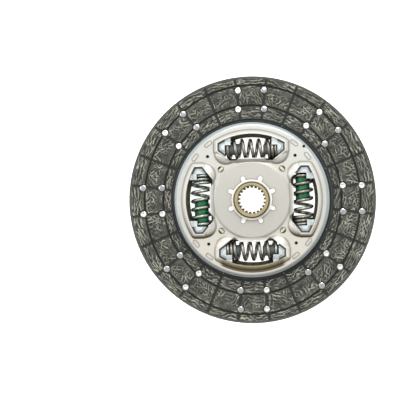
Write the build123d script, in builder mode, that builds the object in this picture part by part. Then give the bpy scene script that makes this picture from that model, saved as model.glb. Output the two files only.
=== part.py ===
from build123d import *
from math import cos, radians, sin, sqrt, tan
import os

# Clutch disc with a torsional damper, in millimetres. The origin is on the axis, midway between the
# two facings, and +Z points to the side that carries the cover plate. The damper springs lie in four
# windows, and every window form is drawn once, at the +Y window, and turned to the other three.

# Friction facings
facing_outer_diameter = 260.0
facing_inner_diameter = 170.0
facing_thickness = 3.6
facing_spacing = 1.4
radial_groove_count = 24
radial_groove_width = 3.0
radial_groove_depth = 1.0
oval_groove_width = 1.8
oval_groove_depth = 1.5
outer_oval_side_margin = 16.4
outer_oval_end_margin = 9.3
inner_oval_side_margin = 8.7
inner_oval_end_margin = 14.4

# Rivets that hold the facings to the cushion segments
segment_count = 8
rivet_inner_margin = 10.5
rivet_outer_margin = 14.5
rivet_column_spacing = 27.5
rivet_shank_diameter = 4.0
rivet_head_diameter = 7.8
rivet_head_height = 1.0
rivet_tail_diameter = 7.2
rivet_tail_height = 0.8
rivet_head_flat_radius = 2.4
rivet_hollow_diameter = 2.6
rivet_hollow_depth = 1.6
rivet_web = 1.3
rivet_head_room = 0.5
rivet_tail_room = 0.9
rivet_hole_clearance = 0.1

# Wavy cushion segments between the facings
segment_thickness = 0.7
segment_slot = 1.8
segment_root_slot = 0.1
segment_edge_margin = 3.0
segment_root_depth = 14.5
segment_root_overlap = 1.0
segment_wave_ramp = 3.0

# Damper plates
plate_thickness = 2.3
plate_to_facing_gap = 2.0
cover_rim_step = 1.0
cover_corner_radius = 5.0
boss_radius = 40.1
boss_rise = 0.8
boss_slope = 1.2
flange_thickness = 8.0
rear_gap = 2.7
front_gap = 2.7

# Damper springs
spring_pitch_radius = 53.0
spring_outer_diameter = 22.5
spring_wire = 3.55
spring_length = 54.8
spring_closed_pitch = 3.6
spring_closed_turns_start = 0.6
spring_closed_turns_end = 2.26
spring_active_turns = 4.9
spring_end_inset = 0.9

# Windows in the damper plates
window_count = 4
seat_depth = 7.5
front_window_margin = 4.55
rear_window_margin = 1.6
tab_clearance = 0.36
tab_half_width = 12.8
corner_drop = 1.9
corner_angle = 38.0
relief_depth = 3.2
relief_width = 2.9
relief_dip = 1.3
spring_end_gap = 0.3
front_lip_width = 5.0
front_lip_rise = 2.6
rear_lip_width = 3.5
rear_lip_rise = 2.3
lip_flat = 1.0
hood_radius = 13.1
hood_rise = 3.0
hood_end_offset = 8.5
hood_pitch_offset = 3.3

# Spring seats and torsion cushions
seat_clearance = 0.3
seat_wall = 1.05
seat_block_half_height = 8.6
seat_arm_length = 6.0
seat_arm_offset = 4.0
seat_step_inset = 1.8
seat_step_height = 0.45
stem_diameter = 11.8
plate_stem_length = 15.0
hub_stem_length = 17.0
stem_chamfer = 1.5
torsion_cushion_diameter = 14.6
torsion_cushion_length = 29.2
torsion_cushion_chamfer = 1.2

# Stop pins and the rivets that hold the cushion segments to the disc plate
pin_rim_margin = 8.3
pin_half_angle = 7.5
pin_body_length = 10.0
pin_body_width = 4.5
pin_tenon_length = 8.4
pin_tenon_width = 3.4
pin_head_rise = 0.4
pin_tail_shank = 4.6
pin_tail_diameter = 7.5
pin_tail_height = 1.0
pin_clearance = 0.05
segment_rivet_shank = 4.4
segment_rivet_head = 6.4
segment_rivet_head_height = 1.2

# Splined hub
spline_teeth = 21
spline_major_diameter = 29.0
spline_minor_diameter = 25.2
spline_root_width = 2.7
spline_tip_width = 1.5
spline_lead_in = 1.9
spline_lead_margin = 0.5
spline_tooth_overlap = 0.7
hub_barrel_diameter = 38.0
hub_front_z = 29.5
hub_rear_z = -3.5
hub_chamfer = 1.0
arm_pin_gap = 1.45
arm_corner_radius = 2.0
flange_spring_gap = 0.55
flange_seat_gap = 0.3

# Bushes, washers and springs round the hub
bush_running_clearance = 0.08
bush_wall = 2.12
bush_hole_clearance = 0.1
bush_foot_radius = 26.7
bush_foot_height = 2.0
bush_rise = 0.6
lug_count = 8
lug_width = 4.5
lug_reach = 26.2
washer_inner_radius = 27.2
washer_outer_radius = 39.0
washer_thickness = 1.0
claw_plate_thickness = 0.8
claw_plate_radius = 40.4
claw_hole_radius = 45.2
claw_hole_diameter = 6.2
claw_hole_clearance = 0.3
claw_inner_reach = 1.3
claw_outer_reach = 1.1
claw_ear_width = 5.2
claw_rise = 0.9
cone_spring_outer_radius = 37.5
cone_spring_inner_radius = 28.0
cone_spring_thickness = 0.7
thrust_bush_radius = 34.0
thrust_collar_rise = 0.6

# Small holes in the cover plate
tool_hole_radius = 64.4
tool_hole_diameter = 3.2
rim_hole_offset = 0.6
rim_hole_diameter = 3.0

# Levels and radii that follow from the sizes above
facing_outer_radius = facing_outer_diameter / 2
facing_inner_radius = facing_inner_diameter / 2
rivet_inner_row = facing_inner_radius + rivet_inner_margin
rivet_outer_row = facing_outer_radius - rivet_outer_margin
facing_back = facing_spacing / 2
facing_face = facing_back + facing_thickness
disc_plate_rear = segment_thickness / 2
disc_plate_front = disc_plate_rear + plate_thickness
flange_rear = disc_plate_front + rear_gap
flange_front = flange_rear + flange_thickness
damper_middle = (flange_rear + flange_front) / 2
cover_inner = flange_front + front_gap
cover_outer = cover_inner + plate_thickness
disc_plate_radius = facing_inner_radius - plate_to_facing_gap
cover_radius = disc_plate_radius - cover_rim_step
pin_pitch_radius = cover_radius - pin_rim_margin
spring_radius = spring_outer_diameter / 2
spring_half_length = spring_length / 2
window_half_length = spring_half_length + seat_depth
front_window_radius = spring_pitch_radius + spring_radius + front_window_margin
rear_window_radius = spring_pitch_radius + spring_radius + rear_window_margin
plate_gap_half = cover_inner - damper_middle
tab_edge = spring_pitch_radius - sqrt(spring_radius**2 - plate_gap_half**2) - tab_clearance
corner_slope = tan(radians(corner_angle))
slope_gap = seat_clearance / cos(radians(corner_angle))
seat_radius = spring_radius + seat_clearance + seat_wall
window_corner = spring_pitch_radius - corner_drop
flange_notch = spring_pitch_radius - spring_radius - flange_spring_gap
flange_corner = flange_notch + seat_depth * corner_slope
arm_radius = pin_pitch_radius - pin_body_width / 2 - arm_pin_gap
barrel_radius = hub_barrel_diameter / 2
bush_inner_radius = barrel_radius + bush_running_clearance
bush_outer_radius = bush_inner_radius + bush_wall
bush_hole_radius = bush_outer_radius + bush_hole_clearance
stack_top = cover_inner + boss_rise
washer_top = flange_front + washer_thickness
claw_plate_top = washer_top + claw_plate_thickness
segment_root_radius = facing_inner_radius - segment_root_depth
segment_root_end = facing_inner_radius + segment_root_overlap
segment_outer_radius = facing_outer_radius - segment_edge_margin
segment_angle = 360 / segment_count
diagonal_angle = 180 / window_count

os.makedirs("parts", exist_ok=True)


def save_piece(piece, label):
    piece.part.label = label
    export_step(piece.part, f"parts/{label}.step")


def save_turned_copy(form, label, angle):
    with BuildPart() as copy:
        with PolarLocations(0, 1, start_angle=angle):
            add(form)
    save_piece(copy, label)


def pin_pair():
    return PolarLocations(
        pin_pitch_radius,
        2,
        start_angle=-pin_half_angle,
        angular_range=2 * pin_half_angle,
        endpoint=True,
    )


# Facings. The rear one is the front one turned over.


def make_facing(side):
    own_column = -side * rivet_column_spacing / 2
    outer_oval = (facing_outer_radius - outer_oval_side_margin, facing_outer_radius - outer_oval_end_margin)
    inner_oval = (facing_inner_radius + inner_oval_side_margin, facing_inner_radius + inner_oval_end_margin)
    face = Plane.XY.offset(side * facing_face)
    back = Plane.XY.offset(side * facing_back)
    with BuildPart() as facing:
        with BuildSketch(back):
            Circle(facing_outer_radius)
            Circle(facing_inner_radius, mode=Mode.SUBTRACT)
        extrude(amount=side * facing_thickness)
        with BuildSketch(face):
            groove_middle = (facing_outer_radius + facing_inner_radius) / 2
            groove_length = facing_outer_radius - facing_inner_radius + radial_groove_width
            half_step = 180 / radial_groove_count
            with PolarLocations(groove_middle, radial_groove_count, start_angle=half_step):
                Rectangle(groove_length, radial_groove_width)
        extrude(amount=-side * radial_groove_depth, mode=Mode.SUBTRACT)
        with BuildSketch(face):
            for x_radius, y_radius in (outer_oval, inner_oval):
                half_width = oval_groove_width / 2
                with BuildSketch(mode=Mode.ADD):
                    Ellipse(x_radius + half_width, y_radius + half_width)
                    Ellipse(x_radius - half_width, y_radius - half_width, mode=Mode.SUBTRACT)
        extrude(amount=-side * oval_groove_depth, mode=Mode.SUBTRACT)
        with BuildSketch(back):
            with PolarLocations(0, segment_count):
                with Locations((rivet_inner_row, own_column), (rivet_outer_row, own_column)):
                    Circle(rivet_shank_diameter / 2 + rivet_hole_clearance)
                with Locations((rivet_inner_row, -own_column), (rivet_outer_row, -own_column)):
                    Circle(rivet_tail_diameter / 2 + rivet_tail_room)
        extrude(amount=side * facing_thickness, mode=Mode.SUBTRACT)
        with BuildSketch(back.offset(side * rivet_web)):
            with PolarLocations(0, segment_count):
                with Locations((rivet_inner_row, own_column), (rivet_outer_row, own_column)):
                    Circle(rivet_head_diameter / 2 + rivet_head_room)
        extrude(amount=side * facing_thickness, mode=Mode.SUBTRACT)
    return facing


# Semi-tubular rivets: a low bevelled head in the facing and a rolled hollow tail on the segment.


def make_facing_rivets(side):
    column = -side * rivet_column_spacing / 2
    head_seat = side * (facing_back + rivet_web)
    head_rim = head_seat + side * rivet_head_height / 2
    head_top = head_seat + side * rivet_head_height
    tail_seat = side * (facing_back - segment_thickness)
    tail_end = tail_seat - side * rivet_tail_height
    hollow_floor = tail_end + side * rivet_hollow_depth
    with BuildPart() as rivet:
        with BuildSketch(Plane.XZ):
            with BuildLine():
                Polyline(
                    (0, hollow_floor),
                    (rivet_hollow_diameter / 2, hollow_floor),
                    (rivet_hollow_diameter / 2, tail_end),
                    (rivet_tail_diameter / 2, tail_end),
                    (rivet_tail_diameter / 2, tail_seat),
                    (rivet_shank_diameter / 2, tail_seat),
                    (rivet_shank_diameter / 2, head_seat),
                    (rivet_head_diameter / 2, head_seat),
                    (rivet_head_diameter / 2, head_rim),
                    (rivet_head_flat_radius, head_top),
                    (0, head_top),
                    close=True,
                )
            make_face()
        revolve(axis=Axis.Z)
    with BuildPart() as rivets:
        with PolarLocations(0, segment_count):
            for row in (rivet_inner_row, rivet_outer_row):
                with Locations((row, column)):
                    add(rivet.part)
    return rivets


for facing_name, facing_side in (("front", 1), ("rear", -1)):
    facing = make_facing(facing_side)
    save_piece(facing, f"{facing_name}_facing")
    facing_rivets = make_facing_rivets(facing_side)
    save_piece(facing_rivets, f"{facing_name}_facing_rivets")


# Cushion segments. One half of each paddle lies against the front facing and the other half
# against the rear one, so the pair of facings is sprung apart.



def sector_corners(slot):
    half_sector = radians(segment_angle / 2)
    tip_x = slot / 2 / sin(half_sector)
    edge_x = tip_x + facing_outer_diameter * cos(half_sector)
    edge_y = facing_outer_diameter * sin(half_sector)
    return (tip_x, 0), (edge_x, edge_y), (edge_x, -edge_y)


with BuildPart() as segment_form:
    with BuildSketch(Plane.YZ.offset(segment_root_end - segment_root_overlap)):
        paddle_half = facing_outer_radius / 2
        ramp_half = segment_wave_ramp / 2
        high = facing_back
        low = facing_back - segment_thickness
        with BuildLine():
            Polyline(
                (-paddle_half, high),
                (-ramp_half, high),
                (ramp_half, -low),
                (paddle_half, -low),
                (paddle_half, -high),
                (ramp_half, -high),
                (-ramp_half, low),
                (-paddle_half, low),
                close=True,
            )
        make_face()
    extrude(amount=facing_outer_radius)
    with BuildSketch():
        with BuildLine():
            Polyline(*sector_corners(segment_slot), close=True)
        make_face()
        Circle(segment_outer_radius, mode=Mode.INTERSECT)
    extrude(amount=facing_spacing, both=True, mode=Mode.INTERSECT)
    with BuildSketch(Plane.XY.offset(-segment_thickness / 2)):
        with BuildLine():
            Polyline(*sector_corners(segment_root_slot), close=True)
        make_face()
        Circle(segment_root_end, mode=Mode.INTERSECT)
        Circle(segment_root_radius, mode=Mode.SUBTRACT)
    extrude(amount=segment_thickness)
    with BuildSketch(Plane.XY.offset(-facing_spacing)):
        with pin_pair():
            Circle(pin_tail_shank / 2 + pin_clearance)
        for hole_row in (rivet_inner_row, rivet_outer_row):
            with Locations((hole_row, rivet_column_spacing / 2), (hole_row, -rivet_column_spacing / 2)):
                Circle(rivet_shank_diameter / 2 + rivet_hole_clearance)
    extrude(amount=2 * facing_spacing, mode=Mode.SUBTRACT)

for segment_index in range(segment_count):
    save_turned_copy(segment_form.part, f"cushion_segment_{segment_index + 1}", segment_index * segment_angle)


# Window outlines, drawn at the +Y window. The tab holds the inside of the spring down. In the cover
# plate a relief notch beside it frees the tab from the hooded corner, and in the disc plate a short
# step there clears the end of the spring.


def corner_height(x_position, corner):
    return corner - (window_half_length - x_position) * corner_slope


def make_window(outer_radius):
    relief_top = tab_edge - relief_depth
    relief_start = window_half_length - (window_corner - relief_top) / corner_slope
    side_top = sqrt(outer_radius**2 - window_half_length**2)
    with BuildSketch() as window:
        with BuildLine():
            right_side = Polyline(
                (0, tab_edge),
                (tab_half_width, tab_edge),
                (relief_start - relief_width, relief_top - relief_dip),
                (relief_start, relief_top),
                (window_half_length, window_corner),
                (window_half_length, side_top),
            )
            mirror(right_side, about=Plane.YZ)
            ThreePointArc((-window_half_length, side_top), (0, outer_radius), (window_half_length, side_top))
        make_face()
    return window.sketch


def make_stepped_window(outer_radius):
    step_start = spring_half_length + spring_end_gap
    side_top = sqrt(outer_radius**2 - window_half_length**2)
    with BuildSketch() as window:
        with BuildLine():
            right_side = Polyline(
                (0, tab_edge),
                (step_start, tab_edge),
                (step_start, corner_height(step_start, window_corner)),
                (window_half_length, window_corner),
                (window_half_length, side_top),
            )
            mirror(right_side, about=Plane.YZ)
            ThreePointArc((-window_half_length, side_top), (0, outer_radius), (window_half_length, side_top))
        make_face()
    return window.sketch


def make_lip_outline(outer_radius):
    tab_corner = window_half_length - (window_corner - tab_edge) / corner_slope
    side_top = sqrt(outer_radius**2 - window_half_length**2)
    with BuildSketch() as outline:
        with BuildLine():
            right_side = Polyline(
                (0, tab_edge),
                (tab_corner, tab_edge),
                (window_half_length, window_corner),
                (window_half_length, side_top),
            )
            mirror(right_side, about=Plane.YZ)
            ThreePointArc((-window_half_length, side_top), (0, outer_radius), (window_half_length, side_top))
        make_face()
    return outline.sketch


# The pressed rim of one window as a solid: a sloping lip all round and a domed hood at each corner.
# A plate gains this form on its outer face and loses the same form from its inner face.


def make_pressing(level, side, outer_radius, lip_width, lip_rise, dome_radius):
    hood_height = level + side * (hood_rise - dome_radius)
    with BuildPart() as lip:
        with BuildSketch(Plane.XY.offset(level)):
            add(make_lip_outline(outer_radius))
            offset(amount=lip_width, kind=Kind.ARC)
        with BuildSketch(Plane.XY.offset(level + side * lip_rise)):
            add(make_lip_outline(outer_radius))
            offset(amount=lip_flat, kind=Kind.ARC)
        loft(ruled=True)
    with BuildPart() as pressing:
        with Locations(
            (window_half_length - hood_end_offset, spring_pitch_radius - hood_pitch_offset, hood_height),
            (hood_end_offset - window_half_length, spring_pitch_radius - hood_pitch_offset, hood_height),
        ):
            Sphere(dome_radius)
        split(bisect_by=Plane.XY.offset(level), keep=Keep.TOP if side > 0 else Keep.BOTTOM)
        add(lip.part)
    return pressing.part


def front_pressing(level, dome_radius):
    return make_pressing(level, 1, front_window_radius, front_lip_width, front_lip_rise, dome_radius)


def rear_pressing(level, dome_radius):
    return make_pressing(level, -1, rear_window_radius, rear_lip_width, rear_lip_rise, dome_radius)


hood_sphere = (hood_radius**2 + hood_rise**2) / (2 * hood_rise)
hood_inner_sphere = hood_sphere - plate_thickness
pressed_height = plate_thickness + hood_rise + boss_rise

# Cover plate: a round pan with a raised middle, standing on the disc plate

with BuildPart() as cover_plate:
    with BuildSketch(Plane.XZ):
        with BuildLine():
            corner_inner_radius = cover_corner_radius - plate_thickness
            wall_inner = cover_radius - plate_thickness
            wall_top = cover_outer - cover_corner_radius
            flat_end = cover_radius - cover_corner_radius
            Polyline(
                (flat_end, cover_outer),
                (boss_radius + boss_slope, cover_outer),
                (boss_radius - boss_slope, cover_outer + boss_rise),
                (bush_hole_radius, cover_outer + boss_rise),
                (bush_hole_radius, cover_inner + boss_rise),
                (boss_radius - boss_slope, cover_inner + boss_rise),
                (boss_radius + boss_slope, cover_inner),
                (flat_end, cover_inner),
            )
            RadiusArc((flat_end, cover_inner), (wall_inner, wall_top), corner_inner_radius)
            Polyline(
                (wall_inner, wall_top),
                (wall_inner, disc_plate_front),
                (cover_radius, disc_plate_front),
                (cover_radius, wall_top),
            )
            RadiusArc((cover_radius, wall_top), (flat_end, cover_outer), -cover_corner_radius)
        make_face()
    revolve(axis=Axis.Z)
    with PolarLocations(0, window_count):
        add(front_pressing(cover_outer, hood_sphere))
    with PolarLocations(0, window_count):
        add(front_pressing(cover_inner, hood_inner_sphere), mode=Mode.SUBTRACT)
    with BuildSketch(Plane.XY.offset(cover_inner)):
        with PolarLocations(0, window_count):
            add(make_window(front_window_radius))
        with PolarLocations(0, lug_count, start_angle=180 / lug_count):
            with Locations(((lug_reach + bush_hole_clearance) / 2, 0)):
                SlotOverall(lug_reach + bush_hole_clearance, lug_width + 2 * bush_hole_clearance)
        with PolarLocations(claw_hole_radius, window_count, start_angle=diagonal_angle):
            Circle(claw_hole_diameter / 2)
        with PolarLocations(tool_hole_radius, window_count, start_angle=diagonal_angle):
            Circle(tool_hole_diameter / 2)
        with PolarLocations(flat_end + rim_hole_offset, 1, start_angle=diagonal_angle):
            Circle(rim_hole_diameter / 2)
        with PolarLocations(0, window_count, start_angle=diagonal_angle):
            with pin_pair():
                slot_length = pin_tenon_length + 2 * pin_clearance
                SlotOverall(slot_length, pin_tenon_width + 2 * pin_clearance, rotation=90)
    extrude(amount=pressed_height, mode=Mode.SUBTRACT)
save_piece(cover_plate, "cover_plate")

# Disc plate: flat, with the same windows pressed to the rear

with BuildPart() as disc_plate:
    with BuildSketch(Plane.XY.offset(disc_plate_rear)):
        Circle(disc_plate_radius)
    extrude(amount=plate_thickness)
    with PolarLocations(0, window_count):
        add(rear_pressing(disc_plate_rear, hood_sphere))
    with PolarLocations(0, window_count):
        add(rear_pressing(disc_plate_front, hood_inner_sphere), mode=Mode.SUBTRACT)
    with BuildSketch(Plane.XY.offset(disc_plate_front)):
        Circle(bush_hole_radius)
        with PolarLocations(0, window_count):
            add(make_stepped_window(rear_window_radius))
        with PolarLocations(0, segment_count):
            with pin_pair():
                Circle(pin_tail_shank / 2 + pin_clearance)
    extrude(amount=-pressed_height, mode=Mode.SUBTRACT)
save_piece(disc_plate, "disc_plate")

# Flat stop pins: an oblong body between the plates, an oblong tenon staked in the cover plate and a
# round tail headed over on the cushion segments

pin_tail_top = -segment_thickness / 2

with BuildPart() as stop_pins:
    for pin_level, pin_height, pin_length, pin_width in (
        (disc_plate_front, cover_inner - disc_plate_front, pin_body_length, pin_body_width),
        (cover_inner, plate_thickness + pin_head_rise, pin_tenon_length, pin_tenon_width),
    ):
        with BuildSketch(Plane.XY.offset(pin_level)):
            with PolarLocations(0, window_count, start_angle=diagonal_angle):
                with pin_pair():
                    SlotOverall(pin_length, pin_width, rotation=90)
        extrude(amount=pin_height)
    for tail_level, tail_height, tail_diameter in (
        (disc_plate_front, plate_thickness + segment_thickness, pin_tail_shank),
        (pin_tail_top, pin_tail_height, pin_tail_diameter),
    ):
        with BuildSketch(Plane.XY.offset(tail_level)):
            with PolarLocations(0, window_count, start_angle=diagonal_angle):
                with pin_pair():
                    Circle(tail_diameter / 2)
        extrude(amount=-tail_height)
save_piece(stop_pins, "stop_pins")

# Rivets that hold the other four cushion segments to the disc plate

with BuildPart() as segment_rivets:
    for rivet_level, rivet_height, rivet_diameter in (
        (disc_plate_front, segment_rivet_head_height, segment_rivet_head),
        (pin_tail_top, plate_thickness + segment_thickness, segment_rivet_shank),
        (pin_tail_top - pin_tail_height, pin_tail_height, pin_tail_diameter),
    ):
        with BuildSketch(Plane.XY.offset(rivet_level)):
            with PolarLocations(0, window_count):
                with pin_pair():
                    Circle(rivet_diameter / 2)
        extrude(amount=rivet_height)
save_piece(segment_rivets, "segment_rivets")

# Damper spring: ground ends, a short closed coil at one end and two at the other

coil_radius = (spring_outer_diameter - spring_wire) / 2
coil_start = spring_end_inset - spring_half_length
coil_active_length = (
    2 * abs(coil_start) - spring_closed_pitch * (spring_closed_turns_start + spring_closed_turns_end)
)
coil_stretches = (
    (spring_closed_pitch, spring_closed_turns_start),
    (coil_active_length / spring_active_turns, spring_active_turns),
    (spring_closed_pitch, spring_closed_turns_end),
)


def make_coil_path():
    coil_axis = Axis((0, spring_pitch_radius, damper_middle), (1, 0, 0))
    stretches = []
    x_position = coil_start
    turns_done = 0
    for pitch, turns in coil_stretches:
        stretch = Helix(
            pitch=pitch,
            height=pitch * turns,
            radius=coil_radius,
            center=(x_position, spring_pitch_radius, damper_middle),
            direction=(1, 0, 0),
            mode=Mode.PRIVATE,
        )
        stretches.append(stretch.rotate(coil_axis, 180 + 360 * turns_done).edge())
        x_position = x_position + pitch * turns
        turns_done = turns_done + turns
    return Wire(stretches)


with BuildPart() as spring_form:
    coil_path = make_coil_path()
    with BuildSketch(Plane(origin=coil_path @ 0, z_dir=coil_path % 0)):
        Circle(spring_wire / 2)
    sweep(path=coil_path, is_frenet=True)
    split(bisect_by=Plane.YZ.offset(-spring_half_length), keep=Keep.TOP)
    split(bisect_by=Plane.YZ.offset(spring_half_length), keep=Keep.BOTTOM)

# Spring seat. side is 1 for the seat that the plates carry and -1 for the one that the hub pushes.


def make_seat_outline(corner, outer_radius, inset):
    arm_end = spring_half_length - seat_arm_length
    end = window_half_length - inset
    inset_corner = corner + inset / cos(radians(corner_angle))
    inset_radius = outer_radius - inset
    with BuildSketch() as outline:
        with BuildLine():
            corner_top = sqrt(inset_radius**2 - end**2)
            arm_top = sqrt(inset_radius**2 - arm_end**2)
            Polyline(
                (arm_end, arm_top),
                (arm_end, corner_height(arm_end, inset_corner)),
                (end, corner_height(end, inset_corner)),
                (end, corner_top),
            )
            RadiusArc((end, corner_top), (arm_end, arm_top), -inset_radius)
        make_face()
        with BuildLine():
            full_top = sqrt(outer_radius**2 - arm_end**2)
            full_side = sqrt(outer_radius**2 - spring_half_length**2)
            side_low = corner_height(spring_half_length, inset_corner)
            Polyline(
                (arm_end, full_top),
                (arm_end, corner_height(arm_end, inset_corner)),
                (spring_half_length, side_low),
                (spring_half_length, full_side),
            )
            RadiusArc((spring_half_length, full_side), (arm_end, full_top), -outer_radius)
        make_face()
    return outline.sketch


# The seat's height is cut to a different outline at each level: below the disc plate's window, between
# the plates, and above in the cover's window, where the top steps down towards the window's edge. The
# arm beside the spring keeps its full width at every level, so that its wall stays closed.


def make_seat_envelope():
    flange_side = flange_corner + flange_seat_gap / cos(radians(corner_angle))
    window_side = window_corner + slope_gap
    front_edge = front_window_radius - seat_clearance
    rear_edge = rear_window_radius - seat_clearance
    bottom = damper_middle - seat_radius
    middle_low = disc_plate_front + seat_clearance
    middle_high = cover_inner - seat_clearance
    upper_step = damper_middle + seat_block_half_height - seat_step_height
    lower_step = upper_step - seat_step_height
    top = damper_middle + seat_radius
    with BuildPart() as envelope:
        for low, high, corner, outer_radius, inset in (
            (bottom, middle_low, window_side, rear_edge, 0),
            (middle_low, middle_high, flange_side, front_edge, 0),
            (middle_high, lower_step, window_side, front_edge, 0),
            (lower_step, upper_step, window_side, front_edge, seat_step_inset),
            (upper_step, top, window_side, front_edge, 2 * seat_step_inset),
        ):
            with BuildSketch(Plane.XY.offset(low)):
                add(make_seat_outline(corner, outer_radius, inset))
            extrude(amount=high - low)
    return envelope.part


def make_seat(side, stem_length):
    with BuildPart() as seat:
        with BuildSketch(Plane.YZ.offset(spring_half_length - seat_arm_length)):
            with Locations((spring_pitch_radius, damper_middle)):
                Circle(seat_radius)
                block_align = (Align.MIN, Align.CENTER)
                Rectangle(front_window_radius, 2 * seat_block_half_height, align=block_align)
        extrude(amount=seat_depth + seat_arm_length)
        with BuildSketch(Plane.YZ.offset(spring_half_length)):
            with Locations((spring_pitch_radius, damper_middle)):
                Circle(spring_radius + seat_clearance)
            with Locations((spring_pitch_radius + seat_arm_offset, damper_middle)):
                room_align = (Align.MAX, Align.CENTER)
                Rectangle(front_window_radius, 2 * front_window_radius, align=room_align)
        extrude(amount=-seat_arm_length, mode=Mode.SUBTRACT)
        add(seat_envelope, mode=Mode.INTERSECT)
        if stem_length:
            with BuildSketch(Plane.YZ.offset(spring_half_length)):
                with Locations((spring_pitch_radius, damper_middle)):
                    Circle(stem_diameter / 2)
            extrude(amount=-stem_length)
            chamfer(seat.edges().group_by(Axis.X)[0], length=stem_chamfer)
        if side < 0:
            mirror(about=Plane.YZ, mode=Mode.REPLACE)
    return seat.part


seat_envelope = make_seat_envelope()
plain_seats = {"plate": make_seat(1, 0), "hub": make_seat(-1, 0)}
stem_seats = {"plate": make_seat(1, plate_stem_length), "hub": make_seat(-1, hub_stem_length)}

with BuildPart() as cushion_form:
    with BuildSketch(Plane.YZ.offset(-spring_half_length)):
        with Locations((spring_pitch_radius, damper_middle)):
            Circle(torsion_cushion_diameter / 2)
    extrude(amount=torsion_cushion_length)
    chamfer(cushion_form.edges().filter_by(GeomType.CIRCLE), length=torsion_cushion_chamfer)

window_places = (("top", 0), ("left", 90), ("bottom", 180), ("right", 270))
for place, angle in window_places:
    has_stems = place in ("top", "bottom")
    seats = stem_seats if has_stems else plain_seats
    save_turned_copy(spring_form.part, f"damper_spring_{place}", angle)
    for carrier in ("plate", "hub"):
        save_turned_copy(seats[carrier], f"{carrier}_seat_{place}", angle)
    if not has_stems:
        save_turned_copy(cushion_form.part, f"torsion_cushion_{place}", angle)

# Splined hub with its four-armed flange


def make_spline_hole():
    major_radius = spline_major_diameter / 2
    minor_radius = spline_minor_diameter / 2
    with BuildSketch() as hole:
        Circle(major_radius)
        with PolarLocations(0, spline_teeth, start_angle=90):
            Polygon(
                (minor_radius, -spline_tip_width / 2),
                (minor_radius, spline_tip_width / 2),
                (major_radius + spline_tooth_overlap, spline_root_width / 2),
                (major_radius + spline_tooth_overlap, -spline_root_width / 2),
                align=None,
                mode=Mode.SUBTRACT,
            )
    return hole.sketch


with BuildPart() as splined_hub:
    with BuildSketch(Plane.XY.offset(hub_rear_z)):
        Circle(barrel_radius)
    extrude(amount=hub_front_z - hub_rear_z)
    chamfer(splined_hub.edges().filter_by(GeomType.CIRCLE), length=hub_chamfer)
    with BuildSketch(Plane.XY.offset(flange_rear)) as flange_sketch:
        Circle(arm_radius)
        with PolarLocations(0, window_count):
            Polygon(
                (-spring_half_length, flange_notch),
                (spring_half_length, flange_notch),
                (window_half_length, flange_corner),
                (window_half_length, 2 * arm_radius),
                (-window_half_length, 2 * arm_radius),
                (-window_half_length, flange_corner),
                align=None,
                mode=Mode.SUBTRACT,
            )
        tip_start = arm_radius - arm_corner_radius
        arm_tips = [tip for tip in flange_sketch.vertices() if Vector(tip.X, tip.Y).length > tip_start]
        fillet(arm_tips, radius=arm_corner_radius)
    extrude(amount=flange_thickness)
    with BuildSketch(Plane.XY.offset(hub_rear_z)):
        add(make_spline_hole())
    extrude(amount=hub_front_z - hub_rear_z, mode=Mode.SUBTRACT)
    with BuildSketch(Plane.XZ):
        lead_radius = spline_major_diameter / 2 + spline_lead_margin
        for end_z, inward in ((hub_front_z, -1), (hub_rear_z, 1)):
            with BuildLine():
                Polyline(
                    (0, end_z),
                    (lead_radius, end_z),
                    (lead_radius - spline_lead_in, end_z + inward * spline_lead_in),
                    (0, end_z + inward * spline_lead_in),
                    close=True,
                )
            make_face()
    revolve(axis=Axis.Z, mode=Mode.SUBTRACT)
save_piece(splined_hub, "splined_hub")

# Bush in the cover plate: a foot under the plate, a collar round the hub barrel and eight lugs

with BuildPart() as hub_bush:
    bush_top = cover_outer + boss_rise + bush_rise
    with BuildSketch(Plane.XY.offset(flange_front)):
        Circle(bush_foot_radius)
    extrude(amount=bush_foot_height)
    with BuildSketch(Plane.XY.offset(flange_front)):
        Circle(bush_outer_radius)
        with PolarLocations(0, lug_count, start_angle=180 / lug_count):
            with Locations((lug_reach / 2, 0)):
                SlotOverall(lug_reach, lug_width)
    extrude(amount=bush_top - flange_front)
    with BuildSketch(Plane.XY.offset(flange_front)):
        Circle(bush_inner_radius)
    extrude(amount=bush_top - flange_front, mode=Mode.SUBTRACT)
save_piece(hub_bush, "hub_bush")

# Flanged thrust bush between the hub flange and the disc plate

with BuildPart() as thrust_bush:
    with BuildSketch(Plane.XY.offset(disc_plate_front)):
        Circle(thrust_bush_radius)
    extrude(amount=rear_gap)
    collar_end = disc_plate_rear - thrust_collar_rise
    with BuildSketch(Plane.XY.offset(collar_end)):
        Circle(bush_outer_radius)
    extrude(amount=disc_plate_front - collar_end)
    with BuildSketch(Plane.XY.offset(collar_end)):
        Circle(bush_inner_radius)
    extrude(amount=flange_rear - collar_end, mode=Mode.SUBTRACT)
save_piece(thrust_bush, "thrust_bush")

# Friction washer on the front of the hub flange

with BuildPart() as friction_washer:
    with BuildSketch(Plane.XY.offset(flange_front)):
        Circle(washer_outer_radius)
        Circle(washer_inner_radius, mode=Mode.SUBTRACT)
    extrude(amount=washer_thickness)
save_piece(friction_washer, "friction_washer")

# Claw plate: a flat ring whose four claws stand up through the cover plate's holes

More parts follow.
